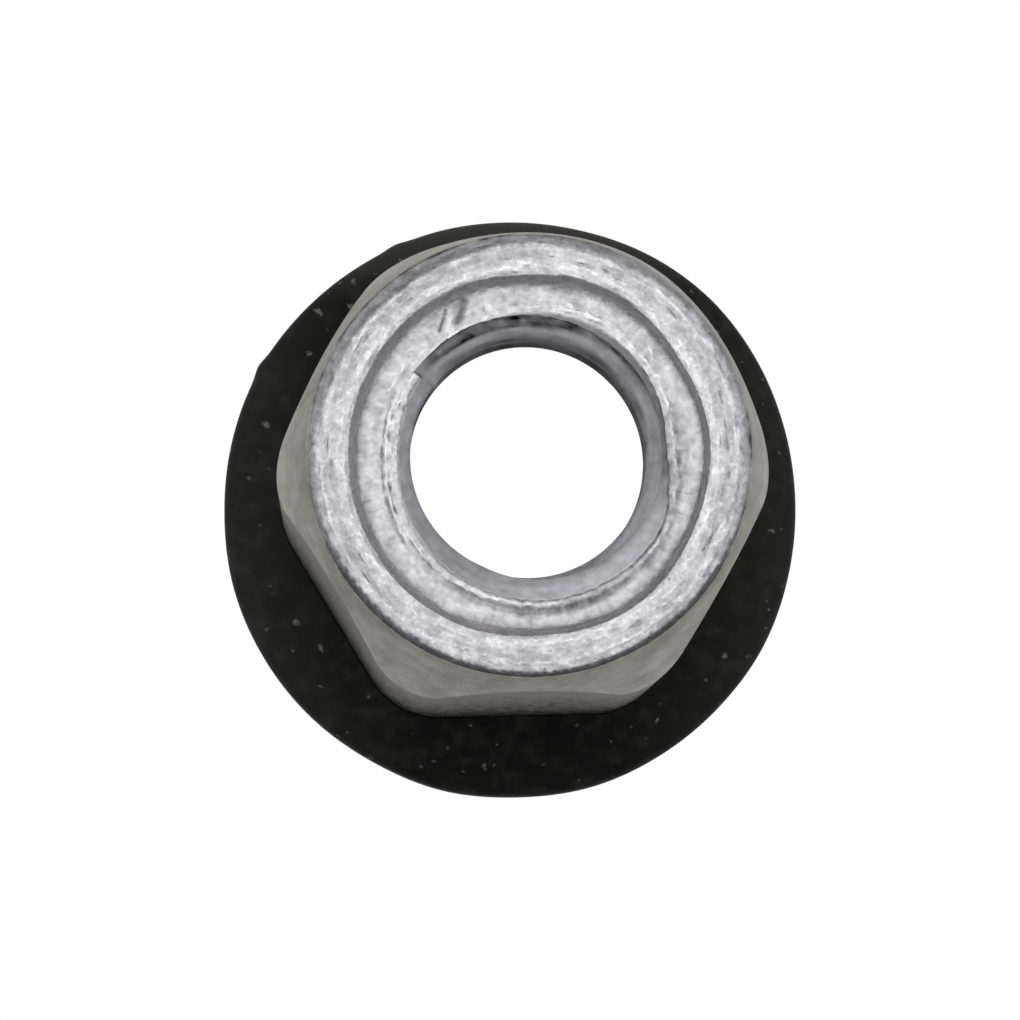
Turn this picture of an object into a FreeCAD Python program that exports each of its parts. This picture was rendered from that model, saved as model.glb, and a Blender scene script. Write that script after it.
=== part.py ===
"""Rivet nut with a hexagonal body and a bonded seal, threaded for an M8 bolt.

It stands on its flange. The origin is the centre of the flange's front face, +Z runs
along the bore towards the nose, and +X points at a corner of the hexagon.
Lengths are in millimetres.
"""
import FreeCAD
import Part
import math
import os

# Hexagonal body, which goes through the panel
ACROSS_FLATS = 13.0
HEX_CORNER_RADIUS = 2.4
BODY_LENGTH = 17.1

# Flange, which stays outside the panel and stands out from the flats by its rim
FLANGE_RIM = 2.3
FLANGE_THICKNESS = 1.5
FLANGE_EDGE_RADIUS = 0.35

# Seal, bonded under the flange's head and a little wider than it
SEAL_OVERHANG = 0.3
SEAL_THICKNESS = 1.1
SEAL_RIM_RADIUS = 0.45
SEAL_FIT = 0.03

# Nose: a steep cone that turns the hexagon into a circle just inside the flats
NOSE_INSET = 0.3
NOSE_SLOPE = 9.5
NOSE_EDGE_RADIUS = 0.3

# Rim round the nose's end face, with a step that slopes down to a sunk ring
RIM_WIDTH = 1.07
STEP_RUN = 0.3
STEP_DEPTH = 0.5

# Thread in the nose, bored at the size of its full crests
THREAD_CREST_DIAMETER = 6.65
THREAD_LENGTH = 2.5
COUNTERSINK_WIDTH = 0.825
COUNTERSINK_SLOPE = 60.0

# Wide thin-walled bore, which folds when the nut is set, and the cone that leads a bolt
# from it into the thread
WALL_AT_FLATS = 1.0
LEAD_IN_SLOPE = 30.0
FRONT_CHAMFER = 0.4

FLANGE_RADIUS = ACROSS_FLATS / 2 + FLANGE_RIM
SEAL_RADIUS = FLANGE_RADIUS + SEAL_OVERHANG
NOSE_RADIUS = ACROSS_FLATS / 2 - NOSE_INSET
TOP = FLANGE_THICKNESS + BODY_LENGTH
SUNK_RING_Z = TOP - STEP_DEPTH
THREAD_END = SUNK_RING_Z - THREAD_LENGTH

Z_AXIS = FreeCAD.Vector(0, 0, 1)
MATCH = 1e-4


def point(radius, z):
    """A point of a half section, on the plane of X and Z."""
    return FreeCAD.Vector(radius, 0, z)


def turned(section):
    """The solid that a closed half section sweeps round the axis."""
    wire = Part.makePolygon([point(r, z) for r, z in section + section[:1]])
    return Part.Face(wire).revolve(FreeCAD.Vector(), Z_AXIS, 360)


def hex_bar(across_flats, corner_radius, z, length):
    """A hexagonal bar with rounded corners, from z upwards."""
    corner = across_flats / math.sqrt(3)
    ring = [FreeCAD.Vector(corner, 0, z)]
    for step in range(6):
        turn = math.radians(60 * (step + 1))
        ring.append(FreeCAD.Vector(corner * math.cos(turn), corner * math.sin(turn), z))
    bar = Part.Face(Part.makePolygon(ring)).extrude(FreeCAD.Vector(0, 0, length))
    upright = [edge for edge in bar.Edges
               if abs(edge.Vertexes[0].Z - edge.Vertexes[1].Z) > length / 2]
    return bar.makeFillet(corner_radius, upright)


def round_edges(solid, radius, heights, edge_radius):
    """Round the circular edges of one radius that lie at the given heights."""
    edges = [edge for edge in solid.Edges
             if isinstance(edge.Curve, Part.Circle)
             and abs(edge.Curve.Radius - radius) < MATCH
             and any(abs(edge.Curve.Center.z - z) < MATCH for z in heights)]
    return solid.makeFillet(edge_radius, edges)


def drop(width, slope):
    """How far a cone runs along the axis while its radius changes by a width."""
    return width / math.tan(math.radians(slope))


def nose_envelope():
    """The round form that trims the bar: the steep cone and its rounded end."""
    foot = NOSE_RADIUS + BODY_LENGTH * math.tan(math.radians(NOSE_SLOPE))
    cone = Part.makeCone(foot, NOSE_RADIUS, BODY_LENGTH,
                         FreeCAD.Vector(0, 0, FLANGE_THICKNESS))
    return round_edges(cone, NOSE_RADIUS, [TOP], NOSE_EDGE_RADIUS)


def bore():
    """All that is open inside, from the flange's front to the sunk ring in the nose."""
    wide = ACROSS_FLATS / 2 - WALL_AT_FLATS
    crest = THREAD_CREST_DIAMETER / 2
    mouth = crest + COUNTERSINK_WIDTH
    brink = NOSE_RADIUS - RIM_WIDTH
    return turned([
        (0, 0),
        (wide + FRONT_CHAMFER, 0),
        (wide, FRONT_CHAMFER),
        (wide, THREAD_END - drop(wide - crest, LEAD_IN_SLOPE)),
        (crest, THREAD_END),
        (crest, SUNK_RING_Z - drop(COUNTERSINK_WIDTH, COUNTERSINK_SLOPE)),
        (mouth, SUNK_RING_Z),
        (brink - STEP_RUN, SUNK_RING_Z),
        (brink, TOP),
        (0, TOP),
    ])


def flange():
    """The round head, with both of its outer edges rounded."""
    disk = Part.makeCylinder(FLANGE_RADIUS, FLANGE_THICKNESS)
    return round_edges(disk, FLANGE_RADIUS, [0, FLANGE_THICKNESS], FLANGE_EDGE_RADIUS)


def rivet_nut_body():
    """Flange, hexagonal body and nose: one piece of cold-formed steel."""
    bar = hex_bar(ACROSS_FLATS, HEX_CORNER_RADIUS, FLANGE_THICKNESS, BODY_LENGTH)
    shank = bar.common(nose_envelope())
    return shank.fuse(flange()).cut(bore()).removeSplitter()


def seal_ring():
    """Flat seal with a rounded rim, pushed over the hexagon down to the flange."""
    ring = Part.makeCylinder(SEAL_RADIUS, SEAL_THICKNESS,
                             FreeCAD.Vector(0, 0, FLANGE_THICKNESS))
    ring = round_edges(ring, SEAL_RADIUS, [FLANGE_THICKNESS + SEAL_THICKNESS],
                       SEAL_RIM_RADIUS)
    hole = hex_bar(ACROSS_FLATS + 2 * SEAL_FIT, HEX_CORNER_RADIUS + SEAL_FIT,
                   FLANGE_THICKNESS, SEAL_THICKNESS)
    return ring.cut(hole)


def main():
    os.makedirs("parts", exist_ok=True)
    for name, solid in (("rivet_nut_body", rivet_nut_body()), ("seal_ring", seal_ring())):
        solid.exportStep("parts/" + name + ".step")
        box = solid.BoundBox
        print(name, "solids", len(solid.Solids), "valid", solid.isValid(),
              "volume %.1f" % solid.Volume,
              "size %.2f %.2f %.2f" % (box.XLength, box.YLength, box.ZLength))


main()
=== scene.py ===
import math

import bpy
from mathutils import Matrix, Vector, noise

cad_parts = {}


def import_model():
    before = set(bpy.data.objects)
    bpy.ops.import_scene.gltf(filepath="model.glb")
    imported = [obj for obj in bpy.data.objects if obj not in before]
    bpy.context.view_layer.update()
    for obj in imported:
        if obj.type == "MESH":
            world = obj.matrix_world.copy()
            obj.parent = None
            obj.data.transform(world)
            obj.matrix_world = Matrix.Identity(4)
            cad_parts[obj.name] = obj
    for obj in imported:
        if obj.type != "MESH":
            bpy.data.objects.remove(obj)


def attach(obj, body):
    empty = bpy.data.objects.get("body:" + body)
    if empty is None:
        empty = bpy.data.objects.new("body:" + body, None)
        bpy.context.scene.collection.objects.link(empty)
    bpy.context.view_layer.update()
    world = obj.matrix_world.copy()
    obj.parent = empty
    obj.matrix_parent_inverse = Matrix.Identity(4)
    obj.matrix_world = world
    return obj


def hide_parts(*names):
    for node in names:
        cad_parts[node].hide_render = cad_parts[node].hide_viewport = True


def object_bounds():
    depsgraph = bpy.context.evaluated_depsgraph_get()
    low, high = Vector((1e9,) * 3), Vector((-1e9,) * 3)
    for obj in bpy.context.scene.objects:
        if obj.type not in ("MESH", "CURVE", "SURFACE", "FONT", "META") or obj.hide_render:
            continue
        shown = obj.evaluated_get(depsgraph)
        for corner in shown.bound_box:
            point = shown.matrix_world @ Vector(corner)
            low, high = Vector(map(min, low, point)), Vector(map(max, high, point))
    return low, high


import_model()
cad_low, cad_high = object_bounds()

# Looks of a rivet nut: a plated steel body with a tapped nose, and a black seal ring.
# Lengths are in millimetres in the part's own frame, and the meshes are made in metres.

MM = 0.001
FULL_TURN = 2 * math.pi
HALF_SIDE = math.pi / 6

# Hexagonal body and flange
ACROSS_FLATS = 13.0
HEX_CORNER_RADIUS = 2.4
FLANGE_RADIUS = 8.8
FLANGE_THICKNESS = 1.5
FLANGE_EDGE_RADIUS = 0.35
TOP = cad_high.z / MM

# Nose: cone, rim, step down to the sunk ring
NOSE_RADIUS = 6.2
NOSE_SLOPE = math.radians(9.5)
NOSE_EDGE_RADIUS = 0.3
FLAT_END = NOSE_RADIUS + NOSE_EDGE_RADIUS * (math.tan(NOSE_SLOPE) - 1 / math.cos(NOSE_SLOPE))
NOSE_EDGE_Z = TOP - NOSE_EDGE_RADIUS * (1 - math.sin(NOSE_SLOPE))
BRINK_RADIUS = 5.13
BRINK_ROUNDING = 0.07
SUNK_EDGE_RADIUS = 4.83
SUNK_EDGE_ROUNDING = 0.3
STEP_DEPTH = 0.5
SUNK_Z = TOP - STEP_DEPTH

# Bore and thread
MOUTH_RADIUS = 4.15
MOUTH_SLOPE = math.radians(60)
LEAD_IN_SLOPE = math.radians(30)
CREST_RADIUS = 3.325
CREST_Z = SUNK_Z - (MOUTH_RADIUS - CREST_RADIUS) / math.tan(MOUTH_SLOPE)
ROOT_RADIUS = 4.0
PITCH = 1.25
ROOT_FLAT = PITCH / 8
FLANK_ANGLE = math.radians(30)
THREAD_LENGTH = 2.5
THREAD_END = SUNK_Z - THREAD_LENGTH
WIDE_RADIUS = 5.5
FRONT_CHAMFER = 0.4
GROOVE_START = math.radians(143)
GROOVE_START_LIFT = 0.05
TAP_OVERLAP = 0.02

# Unevenness: radii, depths and shares at equal steps round the axis, from +X
# anticlockwise. 1 is the full strength of a mark.
BRINKS = (5.07, 5.04, 4.99, 5.07, 5.19, 5.17, 5.08, 5.14, 5.16, 5.13, 5.12, 5.12,
          5.10, 5.12, 5.13, 5.22, 5.22, 5.16, 5.11, 5.13, 5.18, 5.16, 5.05, 5.03)
SUNK_EDGES = (4.86, 4.85, 4.80, 4.82, 4.84, 4.81, 4.80, 4.81, 4.78, 4.80, 4.75, 4.77,
              4.77, 4.79, 4.81, 4.83, 4.89, 4.83, 4.81, 4.85, 4.92, 4.83, 4.82, 4.83)
MOUTHS = (3.86, 4.02, 4.12, 4.06, 3.89, 3.75, 3.70, 3.83, 3.94, 4.06, 4.14, 4.20)
MOUTH_DEPTHS = (0.90, 0.70, 0.50, 0.42, 0.32, 0.24, 0.22, 0.29, 0.36, 0.42, 0.47, 0.55)
MOUTH_LINES = (0.3, 0.2, 0.0, 0.0, 0.2, 0.9, 0.2, 0.5, 0.9, 0.9, 0.6, 0.8)
BURR_PLACES = (0.20, 0.16, 0.18, 0.12, 0.12, 0.20, 0.22, 0.24, 0.16, 0.10, 0.08, 0.12)
BURRS = (1.0, 0.6, 0.5, 0.7, 0.6, 1.0, 1.0, 1.0, 0.9, 0.8, 0.4, 0.7)
SECOND_BURRS = (0.0, 0.0, 0.0, 0.0, 0.0, 0.4, 1.0, 0.6, 0.1, 0.0, 0.0, 0.0)
OUTER_GROOVES = (0.2, 0.0, 0.0, 0.0, 0.0, 0.0, 0.0, 0.3, 0.9, 1.0, 0.8, 0.3)
# Radii beyond which the thread's groove gets painted shade
GROOVE_SHADE_RADII = (3.82, 3.80, 3.78, 3.70, 3.68, 3.76, 3.90, 3.90, 3.90, 3.90, 3.80, 3.80)
# Radii where the painted dark reflection along the rim's rolled outer edge begins
ROLL_STARTS = (6.02, 5.98, 5.93, 5.88, 5.76, 5.86, 5.94, 5.99, 6.02, 6.06, 6.03, 6.03)
ROLLED_EDGES = (0.9, 0.5, 0.6, 0.8, 1.0, 0.9, 0.5, 0.1, 0.0, 0.0, 0.1, 0.4)
SEAL_RIMS = (8.89, 8.92, 9.00, 9.08, 9.07, 9.00, 8.98, 8.98, 8.94, 8.94, 8.96, 8.94,
             8.93, 8.99, 9.00, 9.01, 9.00, 9.05, 9.01, 9.04, 9.00, 8.97, 8.97, 8.91)

# Gouge across the sunk ring, from the step down to the mouth
GOUGE_START = Vector((-1.94, 4.55))
GOUGE_END = Vector((-2.33, 3.37))

# Heights and depths of the marks on the end face
RIM_ROUGHNESS = 0.02
RIM_GRAIN = 0.02
RIM_TROUGH = 0.015
RIM_SCRATCH = 0.03
RIM_ROLL = 0.12
RIM_DROP = 0.04
BURR_HEIGHT = 0.06
BURR_LINE_DEPTH = 0.03
OUTER_GROOVE_DEPTH = 0.06
GOUGE_RIDGE_HEIGHT = 0.03
GOUGE_HOLLOW_DEPTH = 0.02
GOUGE_NICK_DEPTH = 0.01
SUNK_FOLD = 0.006
SUNK_PATCH = 0.008
SUNK_GRAIN = 0.010
SUNK_LUMP = 0.02

# How ragged the mouth's edge, the start of the rolled edge and the thread's root are
MOUTH_RAGGED = 0.03
ROLL_RAGGED = 0.07
ROOT_RAGGED = 0.05

# Marks as (place, width). Those of the rim are outwards from its inner and outer edges, those
# of the mouth outwards from its edge, and those of the gouge to the right of its line.
INNER_RIDGE = (0.17, 0.16)
OUTER_RIDGE = (-0.13, 0.09)
BURR_WIDTH = 0.085
SECOND_BURR = (0.34, 0.055)
BURR_LINE = (0.14, 0.03)
SECOND_BURR_LINES = ((0.25, 0.03), (0.43, 0.03))
MOUTH_LIP = (0.01, 0.045)
OUTER_GROOVE = (0.30, 0.11)
GOUGE_RIDGE = (0.0, 0.12)
GOUGE_HOLLOW = (0.24, 0.12)
GOUGE_HOLLOW_EDGE = (0.36, 0.05)
GOUGE_NICK = (-0.16, 0.05)

# Radii from which the rim's outer edge is rolled down, and up to which the sunk ring is shaded
ROLL_RADIUS = 5.75
SHADE_FULL_RADIUS = 4.35
SHADE_END_RADIUS = 4.65

# How far the painted shade at the foot of the step reaches in over the sunk ring
FOOT_SHADE_WIDTH = 0.34

# Heights on the step over which the marks of the rim and of the sunk ring fade out
RIM_FADE = 0.08
SUNK_FADE = 0.1

# Seal ring
SEAL_THICKNESS = 1.1
SEAL_RADIUS = 9.1
SEAL_RIM_RADIUS = 0.45
SEAL_FOOT_RADIUS = 0.12
SEAL_FIT = 0.03

# Small corners on the seal's rim: angle and width in degrees, and height
SEAL_CORNERS = ((149.5, 2.2, 0.08), (112.5, 2.4, 0.06))

# Camera: its place and aim, its roll, its lens, the width of its sensor and how far it sees
CAMERA_PLACE = (-5.16, -13.77, 154.6)
CAMERA_AIM = (-0.05, -0.11, 2.6)
CAMERA_ROLL = math.radians(1.3)
CAMERA_LENS = 173.4
CAMERA_SENSOR = 36
CAMERA_NEAR = 10.0
CAMERA_FAR = 10000.0

# Strength of the sky at the horizon and overhead, and how far its light leans to +Y
SKY_EDGE = 0.3
SKY_TOP = 1.2
SKY_LEAN = 0.2

# Floor: its width, and how far it lies under the part, so that the two don't touch
FLOOR_WIDTH = 2000.0
FLOOR_DROP = 0.02

# Fineness of the turned meshes, and the radius that the body's side is first turned at
STEPS_ROUND = 640
SIDE_ROWS = 16
EDGE_STEPS = 6
FLANK_STEPS = 10
TAP_STEPS = 160
SIDE_RADIUS = 7.6

# Heights and radii this near are the same, and vertices this near are one, in metres
MATCH = 0.001
MERGE_DISTANCE = 1e-7

# Sharpest bend between two faces that is still shaded as smooth
BODY_SMOOTH = math.radians(35)
SEAL_SMOOTH = math.radians(30)

# Noise for the streaks is taken on a ring of this radius, and noise for the sides at this
# share of the height, which draws them out
STREAK_RING = 1.8
UPRIGHT_SHARE = 0.4

# Colours in linear light
ZINC_DULL = (0.44, 0.435, 0.465, 1)
ZINC_BRIGHT = (0.69, 0.68, 0.70, 1)
# The cone: dull plating, darkened further to paint in the reflection of a shaded floor
CONE_DULL_SHADED = (0.21, 0.202, 0.178, 1)
CONE_BRIGHT_SHADED = (0.30, 0.288, 0.262, 1)
# The flats: dull plating, darkened further by painted shade
FLATS_DULL_SHADED = (0.08, 0.078, 0.072, 1)
FLATS_BRIGHT_SHADED = (0.18, 0.177, 0.163, 1)
BORE_DULL = (0.37, 0.37, 0.395, 1)
BORE_BRIGHT = (0.45, 0.45, 0.48, 1)
EDGE_TINT = (0.66, 0.65, 0.63, 1)
RUBBER = (0.0030, 0.0030, 0.0028, 1)
RUBBER_PALE = (0.16, 0.16, 0.152, 1)
FLOOR_PALE = (0.8, 0.8, 0.8, 1)
WHITE = (1, 1, 1, 1)


def deselect():
    """Nothing stays selected, so the next operator acts on the new piece alone."""
    bpy.ops.object.select_all(action="DESELECT")


def fillet_arc(corner, before, after, radius, steps=5):
    """Points of the arc that rounds a corner between its two neighbours."""
    back = (before - corner).normalized()
    forth = (after - corner).normalized()
    half = back.angle(forth) / 2
    reach = radius / math.tan(half)
    centre = corner + (back + forth).normalized() * (radius / math.sin(half))
    start = corner + back * reach - centre
    end = corner + forth * reach - centre
    turn = start.angle_signed(end)
    return [centre + Matrix.Rotation(-turn * k / steps, 2) @ start for k in range(steps + 1)]


def rounded(corners):
    """Points of a section from corners of (r, z, fillet radius, divisions of the next run)."""
    points = []
    count = len(corners)
    for i, (r, z, fillet, divisions) in enumerate(corners):
        here = Vector((r, z))
        before = Vector(corners[i - 1][:2])
        after = Vector(corners[(i + 1) % count][:2])
        if fillet:
            points += fillet_arc(here, before, after, fillet)
        else:
            points.append(here)
        next_fillet = corners[(i + 1) % count][2]
        start = points[-1]
        end = after
        if next_fillet:
            end = fillet_arc(after, here, Vector(corners[(i + 2) % count][:2]), next_fillet)[0]
        points += [start.lerp(end, k / divisions) for k in range(1, divisions)]
    return points


def chain(points):
    """A new piece whose mesh is one chain of edges through section points, in millimetres."""
    deselect()
    bpy.ops.mesh.primitive_plane_add(size=MM)
    piece = bpy.context.object
    bpy.ops.object.mode_set(mode="EDIT")
    bpy.ops.mesh.merge(type="CENTER")
    here = Vector((0, 0))
    for number, there in enumerate(points):
        step = (there - here) * MM
        move = {"value": (step.x, 0, step.y)}
        if number:
            bpy.ops.mesh.extrude_region_move(TRANSFORM_OT_translate=move)
        else:
            bpy.ops.transform.translate(**move)
        here = there
    return piece


def turned(name, section):
    """Spin a closed half section full circle."""
    piece = chain(section + section[:1])
    piece.name = piece.data.name = name
    bpy.ops.mesh.select_all(action="SELECT")
    bpy.ops.mesh.spin(steps=STEPS_ROUND, angle=FULL_TURN, center=(0, 0, 0), axis=(0, 0, 1))
    bpy.ops.mesh.select_all(action="SELECT")
    bpy.ops.mesh.remove_doubles(threshold=MERGE_DISTANCE)
    bpy.ops.mesh.normals_make_consistent(inside=False)
    bpy.ops.object.mode_set(mode="OBJECT")
    return piece


def shape(piece, rule):
    """Move every vertex by a rule on (radius, angle, height), which also returns how worn and
    shaded it looks.

    Below nothing this darkens the colour, for scratches and for painted shade in hollows and on
    far sides. Above nothing it brightens the colour, for rubbed spots and painted highlights. It
    is kept on the faces' corners, where a cut leaves it as it is.
    """
    wear_and_shade_values = []
    for vertex in piece.data.vertices:
        x, y, z = vertex.co / MM
        angle = math.atan2(y, x)
        radius, height, wear_and_shade = rule(math.hypot(x, y), angle, z)
        vertex.co = Vector((radius * math.cos(angle), radius * math.sin(angle), height)) * MM
        wear_and_shade_values.append(wear_and_shade)
    store = piece.data.attributes.new("wear_and_shade", "FLOAT", "CORNER")
    store.data.foreach_set("value", [wear_and_shade_values[loop.vertex_index] for loop in piece.data.loops])
    piece.data.update()


def around(values, angle):
    """A smooth closed curve through values at equal steps round the axis."""
    count = len(values)
    place = angle / FULL_TURN * count
    first = math.floor(place)
    t = place - first
    a, b, c, d = (values[(first + k) % count] for k in (-1, 0, 1, 2))
    return b + 0.5 * t * (c - a + t * (2 * a - 5 * b + 4 * c - d + t * (3 * (b - c) + d - a)))


def swell(distance, width):
    """A rounded hump, 1 at no distance and next to nothing at twice the width."""
    return math.exp(-(distance / width) ** 2)


def mark(distance, place_and_width):
    """A swell at a place of its own."""
    place, width = place_and_width
    return swell(distance - place, width)


def ease(value, low, high):
    """From 0 at low to 1 at high, with soft ends."""
    t = min(max((value - low) / (high - low), 0), 1)
    return t * t * (3 - 2 * t)


def lumps(radius, angle, along, across, seed):
    """Noise from about -1 to 1, with its own fineness along and across the turn.

    The seed keeps one mark's noise apart from another's.
    """
    return noise.noise(Vector((math.cos(angle) * along + seed, math.sin(angle) * along,
                               radius * across + seed)))


def hex_radius(angle, across_flats, corner_radius):
    """Distance from the axis to a hexagon with rounded corners, one of them on +X."""
    flat = across_flats / 2
    off = abs((angle + HALF_SIDE) % (2 * HALF_SIDE) - HALF_SIDE)
    from_flat = HALF_SIDE - off
    corner_centre = (flat - corner_radius) / math.cos(HALF_SIDE)
    tangent = math.atan2((flat - corner_radius) * math.tan(HALF_SIDE), flat)
    if from_flat < tangent:
        return flat / math.cos(from_flat)
    side = corner_centre * math.sin(off)
    return corner_centre * math.cos(off) + math.sqrt(corner_radius ** 2 - side ** 2)


def body_section():
    """Half section of the body, with its side drawn as a plain cylinder round the corners."""
    wide_end = THREAD_END - (WIDE_RADIUS - CREST_RADIUS) / math.tan(LEAD_IN_SLOPE)
    side = [Vector((SIDE_RADIUS, FLANGE_THICKNESS
                    + (NOSE_EDGE_Z - FLANGE_THICKNESS) * k / SIDE_ROWS))
            for k in range(SIDE_ROWS)]
    centre = Vector((FLAT_END, TOP - NOSE_EDGE_RADIUS))
    arc = []
    for k in range(EDGE_STEPS + 1):
        turn = NOSE_SLOPE + (math.pi / 2 - NOSE_SLOPE) * k / EDGE_STEPS
        arc.append(centre + NOSE_EDGE_RADIUS * Vector((math.cos(turn), math.sin(turn))))
    foot = rounded([
        (WIDE_RADIUS + FRONT_CHAMFER, 0, 0, 3),
        (FLANGE_RADIUS, 0, FLANGE_EDGE_RADIUS, 1),
        (FLANGE_RADIUS, FLANGE_THICKNESS, FLANGE_EDGE_RADIUS, 2),
        (SIDE_RADIUS, FLANGE_THICKNESS, 0, 1),
    ])[:-1]
    inside = rounded([
        (FLAT_END, TOP, 0, 24),
        (BRINK_RADIUS, TOP, BRINK_ROUNDING, 5),
        (SUNK_EDGE_RADIUS, SUNK_Z, SUNK_EDGE_ROUNDING, 24),
        (MOUTH_RADIUS, SUNK_Z, 0, 12),
        (CREST_RADIUS, CREST_Z, 0, 1),
        (CREST_RADIUS, THREAD_END, 0, 4),
        (WIDE_RADIUS, wide_end, 0, 3),
        (WIDE_RADIUS, FRONT_CHAMFER, 0, 1),
        (WIDE_RADIUS + FRONT_CHAMFER, 0, 0, 1),
    ])[1:-1]
    return foot + side + arc + inside


def arch(angle):
    """Radius and height of the crease where the cone meets the hexagon."""
    flat = hex_radius(angle, ACROSS_FLATS, HEX_CORNER_RADIUS)
    return flat, TOP - (flat - NOSE_RADIUS) / math.tan(NOSE_SLOPE)


def side_rule(angle, z):
    """Draws the plain side in to the flats and the cone, which meet in arches."""
    flat, crease = arch(angle)
    share = (z - FLANGE_THICKNESS) / (NOSE_EDGE_Z - FLANGE_THICKNESS)
    if share <= 0.5:
        return flat, FLANGE_THICKNESS + (crease - FLANGE_THICKNESS) * share * 2, 0
    z = crease + (NOSE_EDGE_Z - crease) * (share * 2 - 1)
    return NOSE_RADIUS + (TOP - z) * math.tan(NOSE_SLOPE), z, 0


def mouth_at(angle):
    """The ragged radius at which the sunk ring breaks off into the thread."""
    return around(MOUTHS, angle) + MOUTH_RAGGED * lumps(0, angle, 20, 0, 51)


def uneven_radius(radius, angle):
    """Shifts the turned rings of the end face to the uneven ones of the real piece."""
    stops = ((CREST_RADIUS, CREST_RADIUS),
             (MOUTH_RADIUS, mouth_at(angle)),
             (SUNK_EDGE_RADIUS, around(SUNK_EDGES, angle)),
             (BRINK_RADIUS, around(BRINKS, angle)),
             (FLAT_END, FLAT_END),
             (SIDE_RADIUS, SIDE_RADIUS))
    for (low, new_low), (high, new_high) in zip(stops, stops[1:]):
        if radius <= high:
            return new_low + (new_high - new_low) * (radius - low) / (high - low)
    return radius


def rim_relief(radius, angle):
    """Hammered rim: two rubbed ridges along its edges and a pitted trough between them, bright
    grains that are partly painted glints, and a painted dark reflection along its rolled outer
    edge.
    """
    inner = mark(radius - around(BRINKS, angle), INNER_RIDGE)
    outer = mark(radius - FLAT_END, OUTER_RIDGE)
    trough = 1 - max(inner, outer)
    coarse = lumps(radius, angle, 9, 2.5, 3)
    fine = lumps(radius, angle, 24, 7, 11)
    streak = lumps(radius, angle, 7, 9, 61)
    scratch = ease(lumps(radius, angle, 8, 16, 71), 0.3, 0.65) * trough
    grain = ease(lumps(radius, angle, 36, 10, 141), 0.25, 0.50) * (0.5 + 0.5 * max(inner, outer))
    rolled = around(ROLLED_EDGES, angle) * ease(radius, ROLL_RADIUS, FLAT_END + 0.15)
    ragged = radius + ROLL_RAGGED * lumps(0, angle, 34, 0, 151)
    roll_start = around(ROLL_STARTS, angle)
    # Painted dark reflection along the rolled outer edge, strongest and sharpest on the near side
    crisp = ease(-math.sin(angle), 0.2, 0.6)
    edge = ease(ragged, roll_start - 0.03, roll_start + 0.15 - 0.11 * crisp)
    lift = (RIM_ROUGHNESS * (coarse + fine + streak) + RIM_GRAIN * grain
            - RIM_TROUGH * trough - RIM_SCRATCH * scratch - RIM_ROLL * rolled - RIM_DROP)
    # Bright grains here are partly painted glints
    wear_and_shade = (0.16 * inner + 0.08 * outer - 0.12 * trough + 0.12 * fine + 0.10 * coarse
            + 0.18 * streak + 0.36 * grain - 0.14 * scratch)
    return min(lift, 0), wear_and_shade * (1 - edge) - (0.55 + 0.25 * crisp) * edge


def mouth_relief(radius, angle):
    """Burrs and grooves that the tap left round the mouth of the thread, with painted shade in the
    grooves and along the lip.
    """
    off = radius - mouth_at(angle)
    from_burr = off - around(BURR_PLACES, angle)
    near = swell(from_burr, BURR_WIDTH)
    far = mark(off, SECOND_BURR)
    lump = max(0.7 + 1.3 * lumps(0, angle, 9, 0, 5) + 0.6 * lumps(off, angle, 24, 12, 7), 0)
    other = max(0.7 + 1.3 * lumps(0, angle, 8, 0, 21) + 0.5 * lumps(off, angle, 24, 12, 9), 0)
    burr = around(BURRS, angle) * min(lump, 1.4) * near
    second = around(SECOND_BURRS, angle) * min(other, 1.2) * far
    # Painted shade in the grooves between the burrs, along the mouth's lip and in the wide outer
    # groove
    gap = min(max(0.7 + 1.2 * lumps(0, angle, 12, 0, 81), 0), 1.2)
    lines = (around(SECOND_BURRS, angle) * sum(mark(off, line) for line in SECOND_BURR_LINES)
             + 0.3 * around(BURRS, angle) * mark(from_burr, BURR_LINE))
    lip = around(MOUTH_LINES, angle) * mark(off, MOUTH_LIP)
    wide = around(OUTER_GROOVES, angle) * mark(off, OUTER_GROOVE)
    lift = (BURR_HEIGHT * burr + BURR_HEIGHT * second - BURR_LINE_DEPTH * lines * gap
            - OUTER_GROOVE_DEPTH * wide)
    wear_and_shade = 0.50 * burr + 0.55 * second - 0.50 * lines * gap - 0.60 * lip - 0.42 * wide
    return lift, wear_and_shade


def gouge_relief(radius, angle):
    """A tool mark: a narrow ridge, a hollow along its right side and a nick on its left, with a
    painted highlight on the ridge and painted shade in the hollow and the nick.
    """
    place = Vector((radius * math.cos(angle), radius * math.sin(angle)))
    run = (GOUGE_END - GOUGE_START).normalized()
    along = (place - GOUGE_START).dot(run)
    across = (place - GOUGE_START).cross(run) * -1
    inside = ease(along, -0.05, 0.05) * (1 - ease(along, 1.05, 1.25))
    ridge = inside * mark(across, GOUGE_RIDGE)
    hollow = inside * mark(across, GOUGE_HOLLOW) * (1 - ease(along, 0.70, 0.95))
    hollow_edge = inside * mark(across, GOUGE_HOLLOW_EDGE) * (1 - ease(along, 0.55, 0.75))
    nick = inside * mark(across, GOUGE_NICK) * ease(along, 0.35, 0.5)
    lift = (GOUGE_RIDGE_HEIGHT * ridge - GOUGE_HOLLOW_DEPTH * hollow
            - GOUGE_NICK_DEPTH * nick)
    # Painted highlight on the ridge; painted shade in the hollow, along its edge and in the nick
    wear_and_shade = 0.12 * ridge - 0.72 * hollow - 0.30 * hollow_edge - 0.88 * nick
    return lift, wear_and_shade


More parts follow.
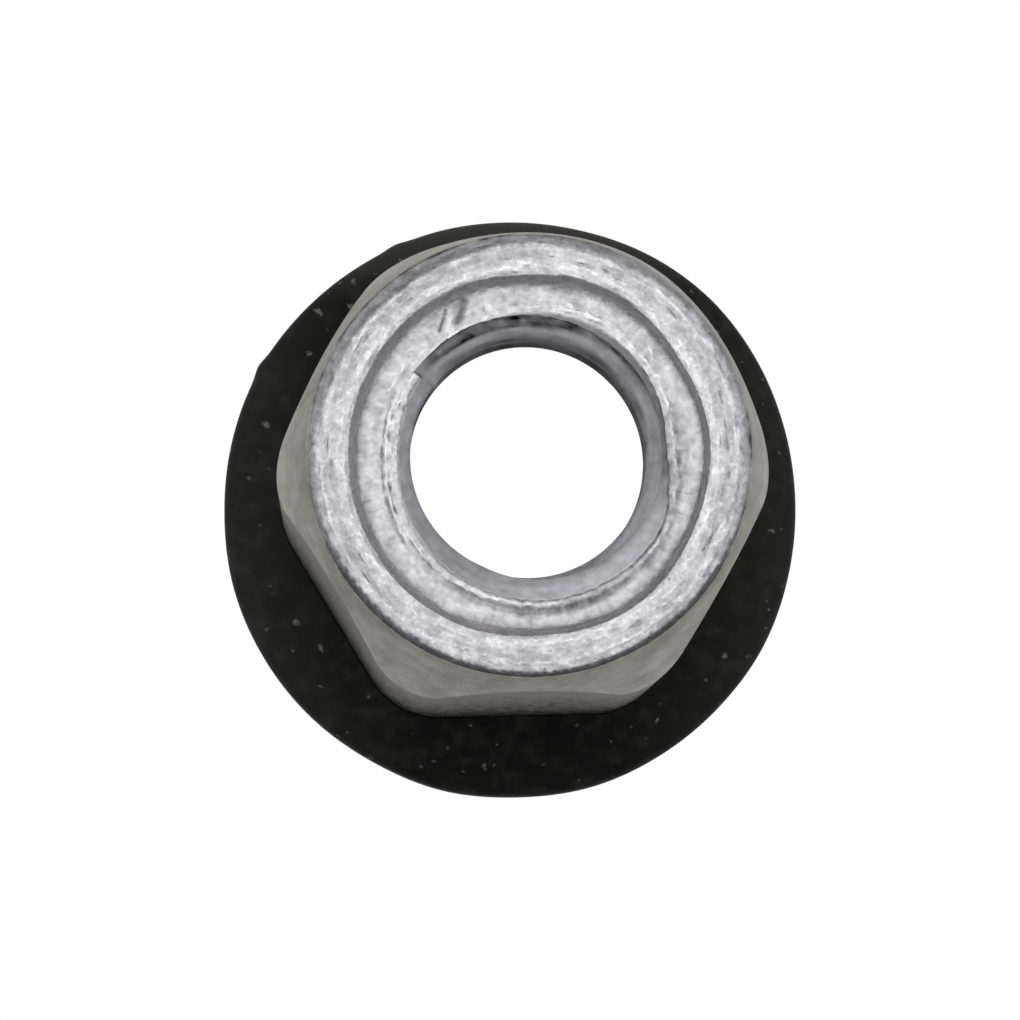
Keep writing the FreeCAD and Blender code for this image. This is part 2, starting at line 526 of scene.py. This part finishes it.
def sunk_relief(radius, angle):
    """Sunk ring: fine radial folds, cracks and soft lumps, and painted shade at the foot of the
    step.
    """
    folds = lumps(radius, angle, 40, 1.2, 31)
    patch = lumps(radius, angle, 6, 3, 41)
    fine = lumps(radius, angle, 26, 8, 91)
    lump = ease(lumps(radius, angle, 16, 5, 161), 0.25, 0.5) * ease(math.sin(angle), -0.6, 0.4)
    crack = ease(lumps(radius, angle, 50, 1.5, 171), 0.52, 0.66)
    step_foot = around(SUNK_EDGES, angle)
    # Painted shade at the foot of the step
    corner = ease(radius, step_foot - FOOT_SHADE_WIDTH, step_foot + 0.05)
    shade = (ease(math.cos(angle + math.pi / 5), 0.3, 0.9)
             * (1 - ease(radius, SHADE_FULL_RADIUS, SHADE_END_RADIUS)))
    lift = SUNK_FOLD * folds + SUNK_PATCH * patch + SUNK_GRAIN * fine + SUNK_LUMP * lump
    wear_and_shade = (0.10 * folds + 0.18 * patch + 0.20 * fine + 0.25 * lump - 0.20 * crack
            - 0.20 * corner - 0.30 * shade)
    return lift, wear_and_shade


def body_rule(radius, angle, z):
    """The whole body: side, hammered rim, step, sunk ring and the mouth of the thread."""
    if abs(radius - SIDE_RADIUS) < MATCH and z > FLANGE_THICKNESS - MATCH:
        return side_rule(angle, z)
    if z < CREST_Z - MATCH or radius > NOSE_RADIUS:
        # Painted shade along the thread's crest, darker on the far side
        crest = ease(radius, CREST_RADIUS + 0.05, CREST_RADIUS)
        return radius, z, crest * (-0.5 - 0.35 * ease(math.sin(angle), -0.2, 0.4))
    if radius > BRINK_RADIUS and z < TOP - MATCH:
        lift, wear_and_shade = rim_relief(radius, angle)
        return radius, z + lift * (z - NOSE_EDGE_Z) / (TOP - NOSE_EDGE_Z), wear_and_shade
    new = uneven_radius(radius, angle)
    if radius > BRINK_RADIUS + BRINK_ROUNDING:
        lift, wear_and_shade = rim_relief(new, angle)
        return new, z + lift, wear_and_shade
    if z < SUNK_Z - MATCH:
        # The mouth's slope: painted shade towards the crest, darker on the far side, and along its
        # lip; painted light on its near right side
        share = (radius - CREST_RADIUS) / (MOUTH_RADIUS - CREST_RADIUS)
        depth = around(MOUTH_DEPTHS, angle) * (1 - share)
        grain = lumps(new, angle, 6, 6, 101)
        lip = around(MOUTH_LINES, angle) * ease(share, 0.85, 1.0)
        flank = 0.45 * ease(math.cos(angle + math.pi / 4), 0.2, 0.9) * ease(share, 0.3, 0.6)
        brink = 0.15 + 0.25 * ease(math.sin(angle), -0.2, 0.6)
        return new, SUNK_Z - depth, (0.15 * grain + flank - 0.35 * lip
                                     - brink * ease(share, 0.25, 0))
    lift, wear_and_shade = gouge_relief(new, angle)
    if z < SUNK_Z + SUNK_FADE:
        level = 1 - ease(z, SUNK_Z, SUNK_Z + SUNK_FADE)
        untouched = max(1 + 1.5 * min(wear_and_shade, 0), 0)
        for extra_lift, extra_wear_and_shade in (mouth_relief(new, angle), sunk_relief(new, angle)):
            lift += extra_lift * level
            wear_and_shade += extra_wear_and_shade * untouched
    elif z < TOP - RIM_FADE:
        # Painted shade: the step's slope is a little darker, most of all on the far side
        wear_and_shade -= 0.07 + 0.04 * math.sin(angle)
    if z > TOP - RIM_FADE:
        rim_lift, rim_wear_and_shade = rim_relief(new, angle)
        share = ease(z, TOP - RIM_FADE, TOP)
        lift += rim_lift * share
        wear_and_shade += rim_wear_and_shade * share
    return new, min(z + lift, TOP), wear_and_shade


def tap():
    """A cutter with the form of the thread's groove, from its start at the mouth downwards."""
    core = CREST_RADIUS - TAP_OVERLAP
    root_half = ROOT_FLAT / 2
    core_half = root_half + (ROOT_RADIUS - core) * math.tan(FLANK_ANGLE)
    turns = math.ceil((THREAD_LENGTH + ROOT_RADIUS) / PITCH) - 1
    middle = SUNK_Z + GROOVE_START_LIFT - PITCH * turns
    lower_core = Vector((core, -core_half))
    lower_root = Vector((ROOT_RADIUS, -root_half))
    lower_flank = [lower_core.lerp(lower_root, k / FLANK_STEPS) for k in range(FLANK_STEPS + 1)]
    groove = lower_flank + [Vector((ROOT_RADIUS, root_half)), Vector((core, core_half))]
    cutter = chain([point + Vector((0, middle)) for point in groove + groove[:1]])
    cutter.name = "tap"
    bpy.ops.mesh.select_all(action="SELECT")
    bpy.ops.transform.rotate(value=-GROOVE_START, orient_axis="Z", center_override=(0, 0, 0))
    bpy.ops.object.mode_set(mode="OBJECT")
    screw = cutter.modifiers.new("helix", "SCREW")
    screw.screw_offset = PITCH * MM
    screw.iterations = turns
    screw.steps = screw.render_steps = TAP_STEPS
    screw.use_merge_vertices = True
    screw.merge_threshold = MERGE_DISTANCE
    bpy.ops.object.modifier_apply(modifier=screw.name)
    bpy.ops.object.mode_set(mode="EDIT")
    bpy.ops.mesh.select_all(action="SELECT")
    bpy.ops.mesh.remove_doubles(threshold=MERGE_DISTANCE)
    bpy.ops.mesh.fill_holes(sides=0)
    bpy.ops.mesh.select_all(action="SELECT")
    bpy.ops.mesh.normals_make_consistent(inside=False)
    bpy.ops.object.mode_set(mode="OBJECT")

    def rule(radius, angle, z):
        """Painted shade in blotches beyond a radius of its own and along the crest, darker on the
        far side, and a ragged root.
        """
        shade_from = around(GROOVE_SHADE_RADII, angle)
        blotch = 1 + 0.9 * lumps(radius, angle, 8, 5, 111) + 0.5 * lumps(radius, angle, 26, 9, 181)
        far_side = ease(math.sin(angle), -0.2, 0.6)
        crest = ease(radius, CREST_RADIUS + 0.12 + 0.18 * far_side, CREST_RADIUS)
        streak = 0.35 * lumps(radius, angle, 4, 9, 121)
        started = 1 if angle > GROOVE_START else ease(GROOVE_START - angle, -0.05, 0.3)
        wear_and_shade = (streak - (0.55 + 0.10 * far_side) * blotch * ease(radius, shade_from - 0.05, shade_from + 0.06)
                - (0.25 + 0.40 * far_side) * crest) * started
        if radius > ROOT_RADIUS - MATCH:
            radius += ROOT_RAGGED * lumps(0, angle, 16, 0, 131)
        return radius, z, wear_and_shade

    shape(cutter, rule)
    return cutter


def make_active(piece):
    """Select the piece alone, so the next operator acts on it."""
    deselect()
    bpy.context.view_layer.objects.active = piece
    piece.select_set(True)


def cut(piece, cutter):
    """Take the cutter's form out of the piece, and delete the cutter."""
    make_active(piece)
    boolean = piece.modifiers.new("cut", "BOOLEAN")
    boolean.operation = "DIFFERENCE"
    boolean.solver = "EXACT"
    boolean.object = cutter
    bpy.ops.object.modifier_apply(modifier=boolean.name)
    bpy.data.objects.remove(cutter)


def sharpen_arches(piece):
    """Keep the shading crisp along the crease of the cone, which is too blunt for its angle."""
    on_crease = []
    for vertex in piece.data.vertices:
        x, y, z = vertex.co / MM
        radius, height = arch(math.atan2(y, x))
        on_crease.append(abs(z - height) < 2 * MATCH
                         and abs(math.hypot(x, y) - radius) < 2 * MATCH)
    for edge in piece.data.edges:
        if all(on_crease[index] for index in edge.vertices):
            edge.use_edge_sharp = True


def nut_body():
    """Flange, hexagon, nose and tapped bore in one closed mesh."""
    piece = turned("nut_body", body_section())
    shape(piece, body_rule)
    cut(piece, tap())
    make_active(piece)
    bpy.ops.object.shade_smooth_by_angle(angle=BODY_SMOOTH)
    sharpen_arches(piece)
    return piece


def seal_rim(angle):
    """The seal's outer radius: uneven, with two small corners that a flattened run joins."""
    degrees = math.degrees(angle)
    corners = sum(height * swell(degrees - place, width) for place, width, height in SEAL_CORNERS)
    return around(SEAL_RIMS, angle) + corners


def seal():
    """Flat ring with a hexagonal hole and a rounded, slightly uneven rim."""
    top = FLANGE_THICKNESS + SEAL_THICKNESS
    hole = SIDE_RADIUS
    piece = turned("seal", rounded([
        (hole, FLANGE_THICKNESS, 0, 1),
        (SEAL_RADIUS, FLANGE_THICKNESS, SEAL_FOOT_RADIUS, 2),
        (SEAL_RADIUS, top, SEAL_RIM_RADIUS, 8),
        (hole, top, 0, 2),
    ]))

    def rule(radius, angle, z):
        """Spreads the plain ring between its hexagonal hole and its uneven rim."""
        inner = hex_radius(angle, ACROSS_FLATS + 2 * SEAL_FIT, HEX_CORNER_RADIUS + SEAL_FIT)
        share = (radius - hole) / (SEAL_RADIUS - hole)
        return inner + (seal_rim(angle) - inner) * share, z, 0

    shape(piece, rule)
    make_active(piece)
    bpy.ops.object.shade_smooth_by_angle(angle=SEAL_SMOOTH)
    return piece


class Paint:
    """A material's nodes, written as sums: the methods return the sockets that they make."""

    def __init__(self, name):
        self.material = bpy.data.materials.new(name)
        self.material.use_nodes = True
        self.tree = self.material.node_tree
        self.shader = self.tree.nodes["Principled BSDF"]
        coordinates = self.tree.nodes.new("ShaderNodeTexCoord").outputs["Object"]
        self.place = self.vector("SCALE", coordinates, Scale=1 / MM)
        parts = self.tree.nodes.new("ShaderNodeSeparateXYZ")
        self.put(parts.inputs[0], self.place)
        self.x, self.y, self.z = parts.outputs

    def put(self, socket, value):
        """Link a socket to another, or give it a plain value."""
        if isinstance(value, bpy.types.NodeSocket):
            self.tree.links.new(value, socket)
        else:
            socket.default_value = value

    def maths(self, operation, *values):
        node = self.tree.nodes.new("ShaderNodeMath")
        node.operation = operation
        for socket, value in zip(node.inputs, values):
            self.put(socket, value)
        return node.outputs[0]

    def product(self, first, second):
        return self.maths("MULTIPLY", first, second)

    def total(self, first, second):
        return self.maths("ADD", first, second)

    def less(self, first, second):
        return self.maths("SUBTRACT", first, second)

    def vector(self, operation, *values, **named):
        node = self.tree.nodes.new("ShaderNodeVectorMath")
        node.operation = operation
        for socket, value in zip(node.inputs, values):
            self.put(socket, value)
        for name, value in named.items():
            self.put(node.inputs[name], value)
        return node.outputs[0]

    def join(self, x, y, z):
        node = self.tree.nodes.new("ShaderNodeCombineXYZ")
        for socket, value in zip(node.inputs, (x, y, z)):
            self.put(socket, value)
        return node.outputs[0]

    def ramp(self, value, low, high, start=0.0, end=1.0):
        """From start where the value is low to end where it is high, and flat beyond."""
        node = self.tree.nodes.new("ShaderNodeMapRange")
        for socket, number in zip(node.inputs, (value, low, high, start, end)):
            self.put(socket, number)
        return node.outputs[0]

    def spread(self, value, half, start=0.0, end=1.0):
        """A ramp over the middle of a noise's range, half of it to each side of 0.5."""
        return self.ramp(value, 0.5 - half, 0.5 + half, start, end)

    def noise(self, scale, detail, place=None):
        node = self.tree.nodes.new("ShaderNodeTexNoise")
        self.put(node.inputs["Vector"], place or self.place)
        node.inputs["Scale"].default_value = scale
        node.inputs["Detail"].default_value = detail
        return node.outputs[0]

    def specks(self, per_mm, radius, keep, place=None):
        """Small soft spots: 1 at their middle, in the given share of the cells."""
        node = self.tree.nodes.new("ShaderNodeTexVoronoi")
        self.put(node.inputs["Vector"], place or self.place)
        node.inputs["Scale"].default_value = per_mm
        spot = self.ramp(node.outputs["Distance"], radius * per_mm, 0.4 * radius * per_mm)
        tint = self.tree.nodes.new("ShaderNodeSeparateColor")
        self.put(tint.inputs[0], node.outputs["Color"])
        return self.product(spot, self.maths("LESS_THAN", tint.outputs[0], keep))

    def blend(self, share, low, high):
        """The low colour where the share is 0, and the high one where it is 1."""
        node = self.tree.nodes.new("ShaderNodeMix")
        node.data_type = "RGBA"
        factor, first, second = node.inputs[0], node.inputs[6], node.inputs[7]
        for socket, value in ((factor, share), (first, low), (second, high)):
            self.put(socket, value)
        return node.outputs[2]

    def place_shifted(self, amount, reach):
        """The object's place, pushed about by up to a reach in millimetres."""
        push = self.join(amount, self.less(1.0, amount), amount)
        return self.vector("MULTIPLY_ADD", push, (reach, reach, reach), self.place)

    def times(self, colour, *factors):
        """A colour made darker or brighter by each factor in turn."""
        for factor in factors:
            colour = self.vector("SCALE", colour, Scale=factor)
        return colour

    def attribute(self, name):
        node = self.tree.nodes.new("ShaderNodeAttribute")
        node.attribute_name = name
        return node.outputs["Fac"]

    def bump(self, height, depth):
        node = self.tree.nodes.new("ShaderNodeBump")
        node.inputs["Distance"].default_value = depth * MM
        self.put(node.inputs["Height"], height)
        self.put(self.shader.inputs["Normal"], node.outputs[0])


def plated_steel():
    """Zinc-plated steel: rubbed and mottled on the end face, dull on the cone and the flats, where
    painted shade darkens it further.
    """
    paint = Paint("plated_steel")
    radius = paint.maths("SQRT", paint.total(paint.product(paint.x, paint.x),
                                             paint.product(paint.y, paint.y)))
    turn = [paint.product(paint.maths("DIVIDE", axis, radius), STREAK_RING)
            for axis in (paint.x, paint.y)]
    ring_place = paint.join(*turn, radius)
    upright = paint.join(paint.x, paint.y, paint.product(paint.z, UPRIGHT_SHARE))
    grain = paint.noise(3.2, 4.0, upright)
    mottle = paint.noise(3.2, 5.0)
    fine = paint.noise(9.0, 2.0)
    streak = paint.noise(6.0, 3.0, ring_place)
    cloud = paint.noise(0.5, 2.0)

    # Sunk ring: pale, with soft mottling and bright specks
    calm = paint.times(
        paint.blend(paint.spread(mottle, 0.2, 0.2, 1.0), ZINC_DULL, ZINC_BRIGHT),
        paint.spread(fine, 0.15, 0.93, 1.06),
        paint.ramp(paint.specks(2.4, 0.07, 0.3), 0.0, 1.0, 1.0, 1.2))

    # Rim: hammered, with streaks along the turn, bright grains that are partly painted glints, and
    # dark pits
    hammered = paint.times(
        paint.blend(paint.spread(mottle, 0.2, 0.1, 0.9), ZINC_DULL, ZINC_BRIGHT),
        paint.spread(streak, 0.14, 0.88, 1.10),
        paint.spread(cloud, 0.15, 0.92, 1.05),
        paint.ramp(fine, 0.56, 0.68, 1.0, 1.25),
        paint.ramp(fine, 0.40, 0.30, 1.0, 0.78),
        paint.ramp(paint.specks(1.6, 0.06, 0.5), 0.0, 1.0, 1.0, 0.5))
    on_rim = paint.ramp(radius, BRINK_RADIUS - 0.18, BRINK_RADIUS + 0.02)
    face = paint.blend(on_rim, calm, hammered)

    # Cone: dull and beige, darker still by a painted reflection of a shaded floor; brighter
    # outwards, and darker at the front by painted shade
    cone = paint.times(
        paint.blend(paint.spread(cloud, 0.15), CONE_DULL_SHADED, CONE_BRIGHT_SHADED),
        paint.spread(grain, 0.2, 0.90, 1.10),
        paint.spread(paint.noise(1.2, 3.0, upright), 0.15, 0.85, 1.12),
        paint.ramp(radius, NOSE_RADIUS, NOSE_RADIUS + 0.8, 0.84, 1.28),
        paint.ramp(paint.y, -6.0, -2.0, 0.88, 1.0))

    # Flats: darker than the cone and speckled, up to the arches; dull plating made darker still by
    # painted shade
    speckle = paint.spread(paint.noise(4.2, 5.0, upright), 0.2)
    flats = paint.blend(speckle, FLATS_DULL_SHADED, FLATS_BRIGHT_SHADED)
    cone_run = paint.product(paint.less(TOP, paint.z), math.tan(NOSE_SLOPE))
    inside_cone = paint.less(paint.total(cone_run, NOSE_RADIUS), radius)
    on_flat = paint.ramp(inside_cone, 0.01, 0.08)
    side = paint.blend(on_flat, cone, flats)

    # Thread and bore: plain grey, darker further down by painted shade
    bore = paint.times(
        paint.blend(paint.spread(grain, 0.2), BORE_DULL, BORE_BRIGHT),
        paint.spread(streak, 0.14, 0.93, 1.07),
        paint.ramp(paint.z, SUNK_Z - 0.9, SUNK_Z - 1.5, 1.0, 0.65))
    below_face = paint.ramp(paint.z, SUNK_Z - 0.02, SUNK_Z - 0.05)
    in_mouth = paint.maths("MAXIMUM", paint.ramp(radius, MOUTH_RADIUS + 0.05, MOUTH_RADIUS),
                           paint.ramp(paint.z, SUNK_Z - 0.1, SUNK_Z - 0.2))
    in_bore = paint.product(paint.product(below_face, in_mouth),
                            paint.ramp(radius, WIDE_RADIUS + 0.2, WIDE_RADIUS + 0.1))

    # All of them together, with the wear and the painted shade and highlights that the shapes left
    nose_edge = (NOSE_RADIUS - 0.04, NOSE_RADIUS + 0.04)
    colour = paint.blend(paint.ramp(radius, *nose_edge), face, side)
    colour = paint.blend(in_bore, colour, bore)
    on_flange = paint.ramp(paint.z, FLANGE_THICKNESS + 0.02, FLANGE_THICKNESS)
    colour = paint.blend(on_flange, colour, paint.times(cone, 0.9))
    colour = paint.times(colour, paint.ramp(paint.attribute("wear_and_shade"), -1.0, 1.0, 0.0, 2.0))
    paint.put(paint.shader.inputs["Base Color"], colour)
    paint.put(paint.shader.inputs["Metallic"], 1.0)
    paint.put(paint.shader.inputs["Specular Tint"], EDGE_TINT)

    # Gloss: rougher in the bore, and by the speckles on the flats
    plain = paint.total(paint.spread(mottle, 0.2, 0.42, 0.30), paint.product(in_bore, 0.25))
    slick = paint.ramp(speckle, 0.0, 1.0, 0.38, 0.50)
    on_side = paint.product(on_flat, paint.ramp(radius, NOSE_RADIUS, nose_edge[1]))
    roughness = paint.total(paint.product(plain, paint.less(1.0, on_side)),
                            paint.product(slick, on_side))
    paint.put(paint.shader.inputs["Roughness"], roughness)

    # Bumps: hammered on the end face alone, and a fine grain all over
    on_face = paint.product(paint.ramp(radius, *reversed(nose_edge)), paint.less(1.0, in_bore))
    hammer = paint.total(mottle, paint.product(fine, 0.5))
    hammer = paint.product(paint.less(hammer, 0.75), on_face)
    paint.bump(paint.total(hammer, paint.product(grain, 0.3)), 0.04)
    return paint.material


def seal_rubber():
    """Matte black rubber with a little pale dust and haze, and paler towards the sides and the
    back.
    """
    paint = Paint("seal_rubber")
    drift = paint.place_shifted(paint.noise(3.0, 2.0), 0.5)
    dust = paint.product(paint.specks(1.0, 0.12, 0.75, drift), 0.7)
    grains = paint.product(paint.specks(2.0, 0.08, 0.6, drift), 0.45)
    haze = paint.ramp(paint.noise(1.8, 5.0), 0.46, 0.75, 0.0, 0.07)
    sides = paint.ramp(paint.maths("ABSOLUTE", paint.x), 3.0, 8.0, 0.01, 0.09)
    back = paint.ramp(paint.y, 6.5, 9.0, 0.0, 0.25)
    pale = paint.total(paint.total(haze, paint.total(sides, back)), paint.total(dust, grains))
    paint.put(paint.shader.inputs["Base Color"], paint.blend(pale, RUBBER, RUBBER_PALE))
    paint.put(paint.shader.inputs["Roughness"], 0.55)
    paint.put(paint.shader.inputs["Specular IOR Level"], 0.06)
    return paint.material


def white_when_seen(tree, other):
    """Mixes a shader with plain white, by a share that the caller takes from the rays."""
    path = tree.nodes.new("ShaderNodeLightPath")
    is_sky = other.bl_idname == "ShaderNodeBackground"
    glow = tree.nodes.new("ShaderNodeBackground" if is_sky else "ShaderNodeEmission")
    glow.inputs["Color"].default_value = WHITE
    mix = tree.nodes.new("ShaderNodeMixShader")
    tree.links.new(other.outputs[0], mix.inputs[1])
    tree.links.new(glow.outputs[0], mix.inputs[2])
    return path, mix


def floor():
    """A wide plain floor: white to the eye and in gloss, and pale for all other light."""
    material = bpy.data.materials.new("floor_white")
    material.use_nodes = True
    tree = material.node_tree
    tree.nodes.clear()
    pale = tree.nodes.new("ShaderNodeBsdfDiffuse")
    pale.inputs["Color"].default_value = FLOOR_PALE
    path, mix = white_when_seen(tree, pale)
    seen = path.outputs["Is Camera Ray"]
    for ray in ("Is Glossy Ray", "Is Transmission Ray"):
        either = tree.nodes.new("ShaderNodeMath")
        either.operation = "MAXIMUM"
        tree.links.new(seen, either.inputs[0])
        tree.links.new(path.outputs[ray], either.inputs[1])
        seen = either.outputs[0]
    tree.links.new(seen, mix.inputs[0])
    out = tree.nodes.new("ShaderNodeOutputMaterial")
    tree.links.new(mix.outputs[0], out.inputs["Surface"])
    deselect()
    bpy.ops.mesh.primitive_plane_add(size=FLOOR_WIDTH * MM, location=(0, 0, -FLOOR_DROP * MM))
    plane = bpy.context.object
    plane.name = "floor"
    plane.data.materials.append(material)


def world():
    """Soft light from above that falls off towards the horizon; white where the eye sees it."""
    scene = bpy.context.scene
    scene.world = bpy.data.worlds.new("studio")
    scene.world.use_nodes = True
    tree = scene.world.node_tree
    sky = tree.nodes["Background"]
    sky.inputs["Color"].default_value = WHITE
    parts = tree.nodes.new("ShaderNodeSeparateXYZ")
    tree.links.new(tree.nodes.new("ShaderNodeTexCoord").outputs["Generated"], parts.inputs[0])
    lean = tree.nodes.new("ShaderNodeMath")
    lean.operation = "MULTIPLY_ADD"
    tree.links.new(parts.outputs[1], lean.inputs[0])
    lean.inputs[1].default_value = SKY_LEAN
    tree.links.new(parts.outputs[2], lean.inputs[2])
    level = tree.nodes.new("ShaderNodeMapRange")
    for socket, value in zip(level.inputs[1:], (0.0, 1.0, SKY_EDGE, SKY_TOP)):
        socket.default_value = value
    tree.links.new(lean.outputs[0], level.inputs[0])
    tree.links.new(level.outputs[0], sky.inputs["Strength"])
    path, mix = white_when_seen(tree, sky)
    tree.links.new(path.outputs["Is Camera Ray"], mix.inputs[0])
    tree.links.new(mix.outputs[0], tree.nodes["World Output"].inputs["Surface"])


def camera():
    """The photograph's view, a little off the axis and almost straight down."""
    data = bpy.data.cameras.new("camera")
    data.sensor_width = CAMERA_SENSOR
    data.lens = CAMERA_LENS
    data.clip_start = CAMERA_NEAR * MM
    data.clip_end = CAMERA_FAR * MM
    eye = bpy.data.objects.new("camera", data)
    bpy.context.scene.collection.objects.link(eye)
    place = Vector(CAMERA_PLACE) * MM
    look = (Vector(CAMERA_AIM) * MM - place).normalized()
    side = look.cross(Vector((0, 1, 0))).normalized()
    up = side.cross(look)
    turn = Matrix.Rotation(CAMERA_ROLL, 3, look)
    side, up = turn @ side, turn @ up
    eye.matrix_world = Matrix((side, up, -look)).transposed().to_4x4()
    eye.location = place
    bpy.context.scene.camera = eye


bpy.context.scene.view_settings.view_transform = "Standard"
camera()
world()
floor()

body = nut_body()
body.data.materials.append(plated_steel())
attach(body, "root")
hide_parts("rivet_nut_body")

ring = seal()
ring.data.materials.append(seal_rubber())
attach(ring, "root")
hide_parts("seal_ring")
